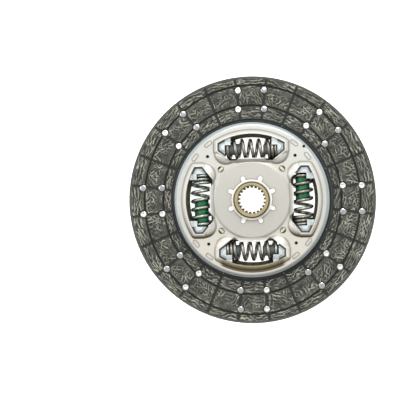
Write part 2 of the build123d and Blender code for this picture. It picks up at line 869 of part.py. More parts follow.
with BuildPart() as claw_plate:
    claw_circle = claw_hole_diameter / 2 - claw_hole_clearance
    with BuildSketch(Plane.XY.offset(washer_top)):
        Circle(claw_plate_radius)
        with PolarLocations(0, window_count, start_angle=diagonal_angle):
            ear_length = claw_hole_radius + claw_outer_reach
            with Locations((ear_length / 2, 0)):
                Rectangle(ear_length, claw_ear_width)
        Circle(washer_inner_radius, mode=Mode.SUBTRACT)
    extrude(amount=claw_plate_thickness)
    with BuildSketch(Plane.XY.offset(washer_top)):
        with PolarLocations(claw_hole_radius, window_count, start_angle=diagonal_angle):
            Circle(claw_circle)
        with BuildSketch(mode=Mode.INTERSECT):
            Circle(claw_hole_radius + claw_outer_reach)
            Circle(claw_hole_radius - claw_inner_reach, mode=Mode.SUBTRACT)
    extrude(amount=cover_outer + claw_rise - washer_top)
save_piece(claw_plate, "claw_plate")

# Cone spring between the claw plate and the cover plate

with BuildPart() as cone_spring:
    with BuildSketch(Plane.XZ):
        with BuildLine():
            Polyline(
                (cone_spring_outer_radius, claw_plate_top),
                (cone_spring_outer_radius, claw_plate_top + cone_spring_thickness),
                (cone_spring_inner_radius, stack_top),
                (cone_spring_inner_radius, stack_top - cone_spring_thickness),
                close=True,
            )
        make_face()
    revolve(axis=Axis.Z)
save_piece(cone_spring, "cone_spring")
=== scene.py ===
import bpy
import math
from mathutils import Matrix, Vector


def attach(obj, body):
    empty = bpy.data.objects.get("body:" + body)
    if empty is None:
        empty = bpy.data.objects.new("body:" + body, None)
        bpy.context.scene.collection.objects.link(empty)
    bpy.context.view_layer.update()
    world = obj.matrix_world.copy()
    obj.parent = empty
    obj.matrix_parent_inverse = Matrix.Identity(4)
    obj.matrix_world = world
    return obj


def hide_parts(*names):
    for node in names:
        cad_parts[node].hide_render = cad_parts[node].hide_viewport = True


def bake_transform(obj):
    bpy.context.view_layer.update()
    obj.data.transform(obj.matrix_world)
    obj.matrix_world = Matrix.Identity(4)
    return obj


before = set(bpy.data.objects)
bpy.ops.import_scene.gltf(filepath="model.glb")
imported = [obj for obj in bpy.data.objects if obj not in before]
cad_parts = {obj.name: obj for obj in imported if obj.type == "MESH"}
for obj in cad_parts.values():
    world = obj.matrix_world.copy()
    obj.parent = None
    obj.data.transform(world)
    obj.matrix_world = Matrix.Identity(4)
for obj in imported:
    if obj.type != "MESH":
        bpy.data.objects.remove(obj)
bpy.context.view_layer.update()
millimetre = 0.001
print("CAD frame loaded")


# small helpers for building node trees

def addNode(tree, kind, **settings):
    made = tree.nodes.new(kind)
    for name, value in settings.items():
        setattr(made, name, value)
    return made


def feed(tree, socket, value):
    if isinstance(value, bpy.types.NodeSocket):
        tree.links.new(value, socket)
    else:
        socket.default_value = value


def calc(tree, operation, first, second=0.0, clamp=False):
    made = addNode(tree, "ShaderNodeMath", operation=operation, use_clamp=clamp)
    feed(tree, made.inputs[0], first)
    feed(tree, made.inputs[1], second)
    return made.outputs[0]


def product(tree, *masks):
    joined = masks[0]
    for mask in masks[1:]:
        joined = calc(tree, "MULTIPLY", joined, mask)
    return joined


def fade(tree, value, low, high, bottom=0.0, top=1.0):
    made = addNode(tree, "ShaderNodeMapRange", interpolation_type="SMOOTHSTEP")
    for index, item in enumerate((value, low, high, bottom, top)):
        feed(tree, made.inputs[index], item)
    return made.outputs[0]


def fadeOut(tree, value, low, high):
    return fade(tree, value, low, high, 1.0, 0.0)


def spread(tree, mask, bottom, top):
    return fade(tree, mask, 0.0, 1.0, bottom, top)


def between(tree, value, limits):
    # rises over the first two limits and falls over the last two
    return product(tree, fade(tree, value, *limits[:2]), fadeOut(tree, value, *limits[2:]))


def blendColours(tree, mask, first, second):
    made = addNode(tree, "ShaderNodeMix", data_type="RGBA")
    feed(tree, made.inputs[0], mask)
    for index, item in ((6, first), (7, second)):  # the colour sockets
        feed(tree, made.inputs[index], item if isinstance(item, bpy.types.NodeSocket) else (*item, 1.0))
    return made.outputs[2]


def layer(tree, under, over, mask, share=1.0):
    # one colour laid over another where the mask says, as strongly as the share
    if share != 1.0:
        mask = calc(tree, "MULTIPLY", mask, share)
    return blendColours(tree, mask, under, over)


def millimetres(tree):
    place = addNode(tree, "ShaderNodeTexCoord")
    scaled = addNode(tree, "ShaderNodeMapping")
    scaled.inputs["Scale"].default_value = (1 / millimetre,) * 3
    tree.links.new(place.outputs["Object"], scaled.inputs["Vector"])
    return scaled.outputs["Vector"]


def splitVector(tree, vector):
    made = addNode(tree, "ShaderNodeSeparateXYZ")
    feed(tree, made.inputs[0], vector)
    return made.outputs


def joinVector(tree, *parts):
    made = addNode(tree, "ShaderNodeCombineXYZ")
    for index, part in enumerate(parts):
        feed(tree, made.inputs[index], part)
    return made.outputs[0]


def vectorCalc(tree, operation, *values):
    made = addNode(tree, "ShaderNodeVectorMath", operation=operation)
    for index, value in enumerate(values):
        feed(tree, made.inputs[index], value)
    return made.outputs


def radiusOf(tree, parts):
    across = calc(tree, "MULTIPLY", parts[0], parts[0])
    along = calc(tree, "MULTIPLY", parts[1], parts[1])
    return calc(tree, "SQRT", calc(tree, "ADD", across, along))


def heightOf(tree):
    return splitVector(tree, millimetres(tree))[2]


def noiseOf(tree, vector, scale, detail):
    made = addNode(tree, "ShaderNodeTexNoise", noise_dimensions="3D")
    feed(tree, made.inputs["Vector"], vector)
    feed(tree, made.inputs["Scale"], scale)
    feed(tree, made.inputs["Detail"], detail)
    return made.outputs


def startGroup(name, inputs, outputs=("Mask",), kind="NodeSocketFloat"):
    group = bpy.data.node_groups.new(name, "ShaderNodeTree")
    for label, value in inputs.items():
        made = group.interface.new_socket(name=label, in_out="INPUT", socket_type="NodeSocketFloat")
        made.default_value = value
    for label in outputs:
        group.interface.new_socket(name=label, in_out="OUTPUT", socket_type=kind)
    return group, addNode(group, "NodeGroupInput").outputs, addNode(group, "NodeGroupOutput").inputs


def useGroup(tree, group, **values):
    made = addNode(tree, "ShaderNodeGroup", node_tree=group)
    for label, value in values.items():
        feed(tree, made.inputs[label], value)
    return made.outputs


def useMask(tree, group, **values):
    return useGroup(tree, group, **values)["Mask"]


# shared effects; sizes in millimetres

def makeMottle():
    group, given, result = startGroup("mottle", {"Size": 10.0, "Low": 0.3, "High": 0.7, "Detail": 5.0})
    scale = calc(group, "DIVIDE", 1.0, given["Size"])
    noise = noiseOf(group, millimetres(group), scale, given["Detail"])[0]
    feed(group, result["Mask"], fade(group, noise, given["Low"], given["High"]))
    return group


def makeRingBand():
    group, given, result = startGroup("ringBand", {"Inner": 10.0, "Outer": 20.0, "Blur": 1.0})
    distance = radiusOf(group, splitVector(group, millimetres(group)))
    beyond = []
    for edge in (given["Inner"], given["Outer"]):
        low, high = (calc(group, way, edge, given["Blur"]) for way in ("SUBTRACT", "ADD"))
        beyond.append(fade(group, distance, low, high))
    feed(group, result["Mask"], calc(group, "SUBTRACT", beyond[0], beyond[1], clamp=True))
    return group


def makeTurningMarks():
    # fine rings about the axis, on flat faces and round a barrel
    group, given, result = startGroup("turningMarks",
                                      {"Spacing": 0.3, "Low": 0.35, "High": 0.65, "Detail": 2.0})
    parts = splitVector(group, millimetres(group))
    outward = calc(group, "DIVIDE", radiusOf(group, parts), given["Spacing"])
    upward = calc(group, "DIVIDE", parts[2], given["Spacing"])
    marks = noiseOf(group, joinVector(group, outward, upward), 1.0, given["Detail"])[0]
    feed(group, result["Mask"], fade(group, marks, given["Low"], given["High"]))
    return group


def roundedNormal(group, width):
    made = addNode(group, "ShaderNodeBevel", samples=4)
    feed(group, made.inputs["Radius"], calc(group, "MULTIPLY", width, millimetre))
    return made.outputs[0]


def makeWornAndShadedEdge():
    # edges and corners, found where a rounded edge would turn away from the flat face; used for edge wear
    # and for painted shade along edges
    group, given, result = startGroup("wornAndShadedEdge", {"Width": 0.5, "Gain": 2.0})
    facing = addNode(group, "ShaderNodeNewGeometry").outputs["Normal"]
    agreement = vectorCalc(group, "DOT_PRODUCT", roundedNormal(group, given["Width"]), facing)["Value"]
    bend = calc(group, "SUBTRACT", 1.0, agreement)
    feed(group, result["Mask"], calc(group, "MULTIPLY", bend, given["Gain"], clamp=True))
    return group


def makeCrevice():
    # closed-in places, where painted shade goes
    group, given, result = startGroup("crevice", {"Reach": 1.0, "Power": 1.0})
    shade = addNode(group, "ShaderNodeAmbientOcclusion", samples=8)
    feed(group, shade.inputs["Distance"], calc(group, "MULTIPLY", given["Reach"], millimetre))
    closed = calc(group, "SUBTRACT", 1.0, shade.outputs["AO"], clamp=True)
    feed(group, result["Mask"], calc(group, "MULTIPLY", closed, given["Power"], clamp=True))
    return group


def makeRoundedRelief():
    # a fine relief together with softly rounded edges
    group, given, result = startGroup("roundedRelief", {"Height": 0.5, "Depth": 0.1, "Edge": 0.3},
                                      ("Normal",), "NodeSocketVector")
    relief = addNode(group, "ShaderNodeBump")
    feed(group, relief.inputs["Height"], given["Height"])
    feed(group, relief.inputs["Distance"], calc(group, "MULTIPLY", given["Depth"], millimetre))
    feed(group, relief.inputs["Normal"], roundedNormal(group, given["Edge"]))
    feed(group, result["Normal"], relief.outputs[0])
    return group


mottle = makeMottle()
ringBand = makeRingBand()
turningMarks = makeTurningMarks()
wornAndShadedEdge = makeWornAndShadedEdge()
crevice = makeCrevice()
roundedRelief = makeRoundedRelief()
print("shared effects made")


def bandMask(tree, start=0.0, end=140.0, blur=0.5):
    # a ring between two radii; left out, they are the axis and beyond the rim
    return useMask(tree, ringBand, Inner=start, Outer=end, Blur=blur)


def startMaterial(name):
    material = bpy.data.materials.new(name)
    material.use_nodes = True
    tree = material.node_tree
    return material, tree, tree.nodes["Principled BSDF"].inputs


def reopenMaterial(material):
    # the tree, the shader's sockets and the colour that reaches it so far
    tree = material.node_tree
    shader = tree.nodes["Principled BSDF"].inputs
    return tree, shader, shader["Base Color"].links[0].from_socket


def dress(material, *nodeNames):
    for name in nodeNames:
        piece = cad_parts[name]
        if not piece.material_slots:
            piece.data.materials.append(material)
        for place in piece.material_slots:
            place.material = material


# facings: woven yarn in dark resin, with radial grooves and two ovals

# turns in radians; the wave period is the wave texture's own, at a scale of one
yarnForm = {
    "meanRadius": 108.0, "middle": (96.0, 102.0, 113.0, 118.0), "turn": (0.7, 3.14),
    "wanderScale": 0.07, "wanderDetail": 2.0, "wanderReach": 8.0,
    "wavePeriod": 0.314, "distortion": 5.5, "waveDetail": 2.0, "waveDetailScale": 0.9,
    "strandEdge": (0.70, 0.98), "breakScale": 0.14, "breakDetail": 2.5, "breakEdge": (0.36, 0.62),
    "brokenLevel": 0.1,
}


def makeYarn():
    # patches of parallel wavy yarn on the unrolled ring: each patch is turned its own way,
    # freely in the middle of the ring and only a little near its rims
    form = yarnForm
    group, given, result = startGroup("yarn", {"Patch": 9.0, "Spacing": 2.2, "Shift": 0.0}, ("Strand",))
    parts = splitVector(group, millimetres(group))
    distance = radiusOf(group, parts)
    around = calc(group, "MULTIPLY", calc(group, "ARCTAN2", parts[1], parts[0]), form["meanRadius"])
    shifted = vectorCalc(group, "ADD", joinVector(group, distance, around), given["Shift"])[0]
    wander = noiseOf(group, shifted, form["wanderScale"], form["wanderDetail"])["Color"]
    centred = vectorCalc(group, "SUBTRACT", wander, (0.5, 0.5, 0.5))[0]
    reach = (form["wanderReach"], form["wanderReach"], 0.0)
    wandered = vectorCalc(group, "MULTIPLY_ADD", centred, reach, shifted)[0]
    patches = addNode(group, "ShaderNodeTexVoronoi", voronoi_dimensions="2D")
    feed(group, patches.inputs["Vector"], wandered)
    feed(group, patches.inputs["Scale"], calc(group, "DIVIDE", 1.0, given["Patch"]))
    chance = calc(group, "SUBTRACT", splitVector(group, patches.outputs["Color"])[0], 0.5)
    freedom = spread(group, between(group, distance, form["middle"]), *form["turn"])
    turned = addNode(group, "ShaderNodeVectorRotate", rotation_type="Z_AXIS")
    feed(group, turned.inputs["Vector"], wandered)
    feed(group, turned.inputs["Angle"], calc(group, "MULTIPLY", chance, freedom))
    strands = addNode(group, "ShaderNodeTexWave", wave_type="BANDS", bands_direction="X",
                      wave_profile="SIN")
    feed(group, strands.inputs["Vector"], turned.outputs[0])
    feed(group, strands.inputs["Scale"], calc(group, "DIVIDE", form["wavePeriod"], given["Spacing"]))
    strands.inputs["Distortion"].default_value = form["distortion"]
    strands.inputs["Detail"].default_value = form["waveDetail"]
    strands.inputs["Detail Scale"].default_value = form["waveDetailScale"]
    lit = fade(group, strands.outputs["Fac"], *form["strandEdge"])
    breaks = noiseOf(group, shifted, form["breakScale"], form["breakDetail"])[0]
    broken = fade(group, breaks, *form["breakEdge"], form["brokenLevel"], 1.0)
    feed(group, result["Strand"], calc(group, "MULTIPLY", lit, broken))
    return group


# the step in degrees, and each oval's half width and half height
grooveForm = {"step": 15.0, "ovals": ((113.6, 120.7), (93.7, 99.4))}


def makeFacingGrooves():
    # masks of the radial grooves, which lie half a step off the axes, and of the two ovals
    group, given, result = startGroup("facingGrooves", {"Radial": 1.5, "Oval": 0.9, "Blur": 1.0},
                                      ("Radial Mask", "Oval Mask"))
    parts = splitVector(group, millimetres(group))

    def grooveMask(gap, width):
        return fadeOut(group, gap, width, calc(group, "ADD", width, given["Blur"]))

    halfStep = grooveForm["step"] / 2
    degrees = calc(group, "DEGREES", calc(group, "ARCTAN2", parts[1], parts[0]))
    fromGroove = calc(group, "SUBTRACT", halfStep, calc(group, "PINGPONG", degrees, halfStep))
    radialGap = calc(group, "MULTIPLY", calc(group, "RADIANS", fromGroove), radiusOf(group, parts))
    feed(group, result["Radial Mask"], grooveMask(radialGap, given["Radial"]))
    ovals = []
    for halfWidth, halfHeight in grooveForm["ovals"]:
        across = calc(group, "POWER", calc(group, "DIVIDE", parts[0], halfWidth), 2.0)
        along = calc(group, "POWER", calc(group, "DIVIDE", parts[1], halfHeight), 2.0)
        ratio = calc(group, "SQRT", calc(group, "ADD", across, along))
        gap = calc(group, "MULTIPLY", calc(group, "SUBTRACT", ratio, 1.0), halfHeight)
        ovals.append(grooveMask(calc(group, "ABSOLUTE", gap), given["Oval"]))
    feed(group, result["Oval Mask"], calc(group, "MAXIMUM", *ovals))
    return group


facingLook = {
    "resin": (0.020, 0.022, 0.019), "resinLight": (0.050, 0.053, 0.044), "blotchSize": 7.0,
    "strand": (0.42, 0.42, 0.345),
    "weaves": ({"Patch": 8.0, "Spacing": 3.1, "Shift": 0.0},
               {"Patch": 6.5, "Spacing": 3.6, "Shift": 71.0}),
    "secondShare": 0.75, "patch": {"Size": 12.0, "Low": 0.38, "High": 0.62}, "patchRange": (0.6, 1.25),
    "middle": (99.0, 115.0), "middleBlur": 2.0, "middleShare": 0.78,
    "radialGroove": (0.028, 0.030, 0.026), "radialWidth": 0.8, "radialShare": 0.8,
    "ovalGroove": (0.014, 0.015, 0.012), "ovalWidth": 0.5, "ovalShare": 0.9, "grooveBlur": 1.1,
    "innerRim": (0.048, 0.055, 0.053), "innerRimEnd": 86.0, "innerRimBlur": 0.8,
    "outerRim": (0.082, 0.085, 0.075), "outerRimStart": 127.6, "outerRimBlur": 0.7,
    "gloss": (0.78, 0.55), "depth": 0.18,
}


def makeFacingMaterial():
    look = facingLook
    material, tree, shader = startMaterial("wovenFacing")
    yarn = makeYarn()
    first, second = (useGroup(tree, yarn, **weave)["Strand"] for weave in look["weaves"])
    strands = calc(tree, "MAXIMUM", first, calc(tree, "MULTIPLY", second, look["secondShare"]))
    groove = useGroup(tree, makeFacingGrooves(), Radial=look["radialWidth"], Oval=look["ovalWidth"],
                      Blur=look["grooveBlur"])
    inner = bandMask(tree, end=look["innerRimEnd"], blur=look["innerRimBlur"])
    outer = bandMask(tree, start=look["outerRimStart"], blur=look["outerRimBlur"])
    plain = calc(tree, "MAXIMUM", calc(tree, "MAXIMUM", inner, outer),
                 calc(tree, "MAXIMUM", groove["Radial Mask"], groove["Oval Mask"]))
    patch = spread(tree, useMask(tree, mottle, **look["patch"]), *look["patchRange"])
    middle = bandMask(tree, *look["middle"], blur=look["middleBlur"])
    shown = product(tree, strands, calc(tree, "SUBTRACT", 1.0, plain), patch,
                    spread(tree, middle, 1.0, look["middleShare"]))
    blotch = useMask(tree, mottle, Size=look["blotchSize"])
    colour = blendColours(tree, blotch, look["resin"], look["resinLight"])
    colour = layer(tree, colour, look["strand"], shown)
    # grooves: bare resin without yarn, with painted shade in the recess
    colour = layer(tree, colour, look["radialGroove"], groove["Radial Mask"], look["radialShare"])
    colour = layer(tree, colour, look["ovalGroove"], groove["Oval Mask"], look["ovalShare"])
    colour = layer(tree, colour, look["innerRim"], inner)
    colour = layer(tree, colour, look["outerRim"], outer)
    feed(tree, shader["Base Color"], colour)
    feed(tree, shader["Roughness"], spread(tree, shown, *look["gloss"]))
    relief = useGroup(tree, roundedRelief, Height=shown, Depth=look["depth"])
    feed(tree, shader["Normal"], relief["Normal"])
    return material


dress(makeFacingMaterial(), "front_facing", "rear_facing")


# damper plates: satin pressed sheet; the side between the plates is painted darker, as painted shade

# a rise is a height over the foot of the pressed forms
pressingLook = {
    "foot": 18.42, "footRise": (0.0, 0.15, 0.4, 1.4), "footShade": (0.22, 0.20, 0.155), "footShare": 0.7,
    "bossShare": 0.35, "top": (20.2, 20.8), "topHighlight": (0.88, 0.88, 0.85), "topShare": 0.35,
    "reflectedBrown": (0.34, 0.29, 0.17), "shadedBrown": (0.075, 0.05, 0.018), "reflectedBrownRise": (0.2, 2.2),
    "brownShare": 0.9, "slopeFacing": (-0.40, -0.10), "slopeRise": (0.0, 0.1, 1.0, 2.0),
    "slopeAlong": (-62.0, -56.0, -8.0, 0.0), "lipBand": (67.4, 75.9), "lipHalfWidth": (30.0, 36.0),
    "lipAlong": (-62.0, -58.0), "lipRise": (-0.6, -0.3),
}


def shadePressing(tree, look, colour, parts, facing, outside):
    # the cover's pressed forms: painted shade at the foot, a painted highlight on the top, and a
    #     # painted brown reflection on the slopes that face -Y, with brown painted shade on the lip of the
    #     bottom window
    rise = calc(tree, "SUBTRACT", parts[2], look["foot"])
    # painted shade at the foot of the pressed forms
    foot = product(tree, between(tree, rise, look["footRise"]),
                   spread(tree, outside, look["bossShare"], 1.0))
    colour = layer(tree, colour, look["footShade"], foot, look["footShare"])
    # painted highlight on the tops of the pressed forms
    colour = layer(tree, colour, look["topHighlight"], fade(tree, parts[2], *look["top"]), look["topShare"])
    # painted brown reflection on the slopes that face -Y, and brown painted shade on the lip of the bottom
    # window
    slope = product(tree, outside, fadeOut(tree, facing[1], *look["slopeFacing"]),
                    between(tree, rise, look["slopeRise"]), between(tree, parts[1], look["slopeAlong"]))
    lip = product(tree, bandMask(tree, *look["lipBand"]),
                  fadeOut(tree, calc(tree, "ABSOLUTE", parts[0]), *look["lipHalfWidth"]),
                  fadeOut(tree, parts[1], *look["lipAlong"]), fade(tree, rise, *look["lipRise"]))
    reflectedBrown = blendColours(tree, fade(tree, rise, *look["reflectedBrownRise"]), look["shadedBrown"], look["reflectedBrown"])
    return layer(tree, colour, reflectedBrown, calc(tree, "MAXIMUM", slope, lip), look["brownShare"])


plateLook = {
    "metallic": 0.65, "gloss": (0.34, 0.42), "depth": 0.008, "roundness": 0.35,
    "bossEdge": 43.0, "bossBlur": 1.0, "blotch": {"Size": 22.0, "High": 0.75}, "grainSize": 0.5,
    "gritShare": 0.10,
    "warmReflection": (0.82, 0.76, 0.63), "warmAlong": (-60.0, -15.0), "warmShare": 0.45,
    "outlined": {"Width": 0.9, "Gain": 12.0}, "outlineTop": (18.72, 19.02), "outlineShare": 0.8,
    "insideFacing": (0.2, 0.6), "wornWidth": 0.6, "worn": (0.9, 0.9, 0.87), "wornShare": 0.35,
    "corners": {"Reach": 2.4, "Power": 1.7},
}
coverLook = {
    **plateLook, "sheet": (0.655, 0.65, 0.61), "shade": (0.59, 0.585, 0.55), "grit": (0.42, 0.38, 0.31),
    "inside": (0.50, 0.49, 0.45), "inward": -1.0, "paintedShade": (0.06, 0.052, 0.032),
    "rim": (0.37, 0.42, 0.43), "rimStart": 77.6, "rimBlur": 1.4, "edge": (0.02, 0.025, 0.027),
    "edgeStart": 80.8, "outline": (0.22, 0.20, 0.155), "pressing": pressingLook,
}
discLook = {
    **plateLook, "sheet": (0.50, 0.49, 0.45), "shade": (0.42, 0.41, 0.38), "grit": (0.35, 0.32, 0.26),
    "inside": (0.15, 0.145, 0.10), "inward": 1.0, "paintedShade": (0.035, 0.032, 0.018),
    "rim": (0.010, 0.013, 0.014), "rimStart": 81.2, "rimBlur": 0.5, "edge": (0.010, 0.013, 0.014),
    "edgeStart": 81.2, "outline": (0.2, 0.2, 0.2),
}


def makePlateMaterial(name, look):
    material, tree, shader = startMaterial(name)
    parts = splitVector(tree, millimetres(tree))
    facing = splitVector(tree, addNode(tree, "ShaderNodeNewGeometry").outputs["True Normal"])
    blotch = useMask(tree, mottle, **look["blotch"])
    grain = useMask(tree, mottle, Size=look["grainSize"])
    outside = bandMask(tree, start=look["bossEdge"], blur=look["bossBlur"])
    rim = bandMask(tree, start=look["rimStart"], blur=look["rimBlur"])
    colour = blendColours(tree, blotch, look["sheet"], look["shade"])
    # painted reflection: the sheet turns warmer towards -Y, outside the boss
    warmReflectionMask = product(tree, outside, fade(tree, parts[1], *look["warmAlong"], look["warmShare"], 0.0))
    colour = layer(tree, colour, look["warmReflection"], warmReflectionMask)
    colour = layer(tree, colour, look["grit"], grain, look["gritShare"])
    # painted shade: a dark line along edges that lie low on the plate
    outline = product(tree, useMask(tree, wornAndShadedEdge, **look["outlined"]),
                      fade(tree, parts[2], *look["outlineTop"], look["outlineShare"], 0.0))
    colour = layer(tree, colour, look["outline"], outline)
    if "pressing" in look:
        colour = shadePressing(tree, look["pressing"], colour, parts, facing, outside)
    # painted shade on the face that looks towards the other plate
    inside = fade(tree, calc(tree, "MULTIPLY", facing[2], look["inward"]), *look["insideFacing"])
    colour = layer(tree, colour, look["inside"], inside)
    # painted reflection of the dim surroundings on the cover's rolled outer band, and painted shade on the
    # disc's
    colour = layer(tree, colour, look["rim"], rim)
    # painted shade on the outer edge
    colour = layer(tree, colour, look["edge"], bandMask(tree, start=look["edgeStart"]))
    worn = product(tree, useMask(tree, wornAndShadedEdge, Width=look["wornWidth"]),
                   calc(tree, "SUBTRACT", 1.0, rim))
    colour = layer(tree, colour, look["worn"], worn, look["wornShare"])
    # painted shade in closed-in corners
    colour = layer(tree, colour, look["paintedShade"], useMask(tree, crevice, **look["corners"]))
    feed(tree, shader["Base Color"], colour)
    shader["Metallic"].default_value = look["metallic"]
    feed(tree, shader["Roughness"], spread(tree, blotch, *look["gloss"]))
    relief = useGroup(tree, roundedRelief, Height=grain, Depth=look["depth"], Edge=look["roundness"])
    feed(tree, shader["Normal"], relief["Normal"])
    return material


dress(makePlateMaterial("satinCover", coverLook), "cover_plate")
dress(makePlateMaterial("satinDisc", discLook), "disc_plate")


# steel and moulded finishes

steelLook = {
    "grain": {"Size": 0.4}, "grainShare": 0.25, "wornWidth": 0.4, "glossRange": 0.12, "roundness": 0.3,
}
mouldedLook = {
    "grain": {"Size": 0.6, "Low": 0.35, "High": 0.65}, "grainShare": 0.2, "blotchSize": 6.0, "depth": 0.03,
    "metallic": 0.0, "wornWidth": 0.5, "glossRange": 0.15, "roundness": 0.35,
}


def makeFinish(name, look):
    # a mottled colour with grain, brighter edges and painted shade in the corners;
    # a look may ask for lathe marks in place of grain, and for painted shade between given heights
    material, tree, shader = startMaterial(name)
    if "marks" in look:
        grain = useMask(tree, turningMarks, Spacing=look["marks"])
    else:
        grain = useMask(tree, mottle, **look["grain"])
    blotch = useMask(tree, mottle, Size=look["blotchSize"])
    colour = blendColours(tree, blotch, look["main"], look["shade"])
    colour = layer(tree, colour, look["dark"], grain, look["grainShare"])
    worn = useMask(tree, wornAndShadedEdge, Width=look["wornWidth"])
    colour = layer(tree, colour, look["light"], worn, look["edge"])
    if "deepShade" in look:
        # painted shade between the given heights, on the stems and the outer step
        deepShade = between(tree, heightOf(tree), look["deepHeights"])
        colour = layer(tree, colour, look["deepShade"], deepShade, look["deepShare"])
    # painted shade in closed-in corners
    corner = useMask(tree, crevice, Reach=look["reach"], Power=look["power"])
    feed(tree, shader["Base Color"], layer(tree, colour, look["paintedShade"], corner))
    shader["Metallic"].default_value = look["metallic"]
    feed(tree, shader["Roughness"], spread(tree, grain, look["gloss"], look["gloss"] + look["glossRange"]))
    relief = useGroup(tree, roundedRelief, Height=grain, Depth=look["depth"], Edge=look["roundness"])
    feed(tree, shader["Normal"], relief["Normal"])
    return material


def makeSteelMaterial(name, look):
    return makeFinish(name, {**steelLook, **look})


def makeMouldedMaterial(name, look):
    return makeFinish(name, {**mouldedLook, **look})


segmentLook = {
    "main": (0.14, 0.15, 0.148), "shade": (0.10, 0.11, 0.11), "dark": (0.04, 0.043, 0.045),
    "paintedShade": (0.03, 0.03, 0.035), "light": (0.30, 0.30, 0.28), "edge": 0.3, "metallic": 0.8, "gloss": 0.4,
    "depth": 0.01, "blotchSize": 12.0, "reach": 1.0, "power": 1.1,
}
dress(makeSteelMaterial("darkSpringSheet", segmentLook),
      *[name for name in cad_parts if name.startswith("cushion_segment")])


hubLook = {
    "main": (0.46, 0.40, 0.235), "shade": (0.39, 0.335, 0.195), "dark": (0.24, 0.20, 0.12),
    "paintedShade": (0.10, 0.085, 0.05), "light": (0.66, 0.60, 0.44), "edge": 0.35, "metallic": 0.8, "gloss": 0.38,
    "depth": 0.03, "marks": 0.35, "blotchSize": 9.0, "reach": 1.0, "power": 1.1,
    "chamfer": (0.11, 0.092, 0.05), "chamferBand": (17.5, 21.0, 0.2), "chamferFoot": (28.0, 28.6),
    "teeth": (0.055, 0.048, 0.025), "teethBand": (0.0, 14.0, 0.3), "teethShare": 0.9,
    "flange": (0.030, 0.028, 0.024), "flangeStart": 21.5,
    "neck": (0.10, 0.095, 0.06), "neckBand": (21.5, 43.0, 0.5),
    "root": (0.34, 0.33, 0.29), "rootBand": (43.0, 47.6, 0.4),
}


def makeHubMaterial():
    # straw-coloured face, painted shade on the chamfer and on the teeth, a near-black flange and pale roots
    # of its arms
    look = hubLook
    material = makeSteelMaterial("turnedHub", look)
    tree, shader, colour = reopenMaterial(material)
    # painted shade on the outer chamfer
    upper = fade(tree, heightOf(tree), *look["chamferFoot"])
    chamfer = product(tree, bandMask(tree, *look["chamferBand"]), upper)
    colour = layer(tree, colour, look["chamfer"], chamfer)
    # painted shade on the teeth
    colour = layer(tree, colour, look["teeth"], bandMask(tree, *look["teethBand"]), look["teethShare"])
    colour = layer(tree, colour, look["flange"], bandMask(tree, start=look["flangeStart"]))
    colour = layer(tree, colour, look["neck"], bandMask(tree, *look["neckBand"]))
    colour = layer(tree, colour, look["root"], bandMask(tree, *look["rootBand"]))
    feed(tree, shader["Base Color"], colour)
    return material


dress(makeHubMaterial(), "splined_hub")


pinLook = {
    "main": (0.68, 0.67, 0.63), "shade": (0.56, 0.55, 0.51), "dark": (0.34, 0.33, 0.30),
    "paintedShade": (0.10, 0.095, 0.08), "light": (0.88, 0.88, 0.84), "edge": 0.3, "metallic": 0.6, "gloss": 0.42,
    "depth": 0.01, "blotchSize": 3.0, "reach": 1.6, "power": 2.2,
    "outline": (0.05, 0.042, 0.03), "outlined": {"Width": 1.1, "Gain": 8.0}, "outlineFoot": (17.9, 18.1),
    "outlineShare": 0.85,
}


def makePinMaterial():
    # the staked heads in the cover plate get a dark outline of painted shade along their low edges
    look = pinLook
    material = makeSteelMaterial("stakedPin", look)
    tree, shader, colour = reopenMaterial(material)
    # painted shade along the low edges
    outline = product(tree, useMask(tree, wornAndShadedEdge, **look["outlined"]),
                      fade(tree, heightOf(tree), *look["outlineFoot"], 0.0, look["outlineShare"]))
    feed(tree, shader["Base Color"], layer(tree, colour, look["outline"], outline))
    return material


dress(makePinMaterial(), "stop_pins", "segment_rivets")


clawLook = {
    "main": (0.74, 0.72, 0.55), "shade": (0.62, 0.60, 0.42), "dark": (0.35, 0.33, 0.2),
    "paintedShade": (0.12, 0.11, 0.06), "light": (0.9, 0.89, 0.78), "edge": 0.5, "metallic": 0.8, "gloss": 0.36,
    "depth": 0.01, "blotchSize": 4.0, "reach": 1.0, "power": 1.4,
}
dress(makeSteelMaterial("paleClaw", clawLook), "claw_plate")


coneLook = {
    "main": (0.35, 0.35, 0.34), "shade": (0.25, 0.25, 0.25), "dark": (0.12, 0.12, 0.12),
    "paintedShade": (0.08, 0.08, 0.08), "light": (0.6, 0.6, 0.6), "edge": 0.3, "metallic": 0.85, "gloss": 0.35,
    "depth": 0.01, "blotchSize": 6.0, "reach": 1.0, "power": 1.1,
}
dress(makeSteelMaterial("coneSpring", coneLook), "cone_spring")


seatLook = {
    "main": (0.67, 0.735, 0.755), "shade": (0.61, 0.67, 0.695), "dark": (0.44, 0.49, 0.51),
    "paintedShade": (0.055, 0.06, 0.058), "light": (0.86, 0.89, 0.90), "edge": 0.2, "gloss": 0.42,
    "reach": 0.8, "power": 0.8,
    "deepShade": (0.05, 0.065, 0.055), "deepHeights": (2.5, 4.5, 17.07, 17.47), "deepShare": 0.9,
}
dress(makeMouldedMaterial("seatResin", seatLook), *[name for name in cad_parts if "_seat_" in name])


rubberLook = {
    "main": (0.008, 0.46, 0.15), "shade": (0.005, 0.26, 0.08), "dark": (0.002, 0.08, 0.025),
    "paintedShade": (0.002, 0.022, 0.010), "light": (0.05, 0.42, 0.18), "edge": 0.3, "gloss": 0.30,
    "reach": 4.5, "power": 2.3,
}
dress(makeMouldedMaterial("greenRubber", rubberLook), "torsion_cushion_left", "torsion_cushion_right")


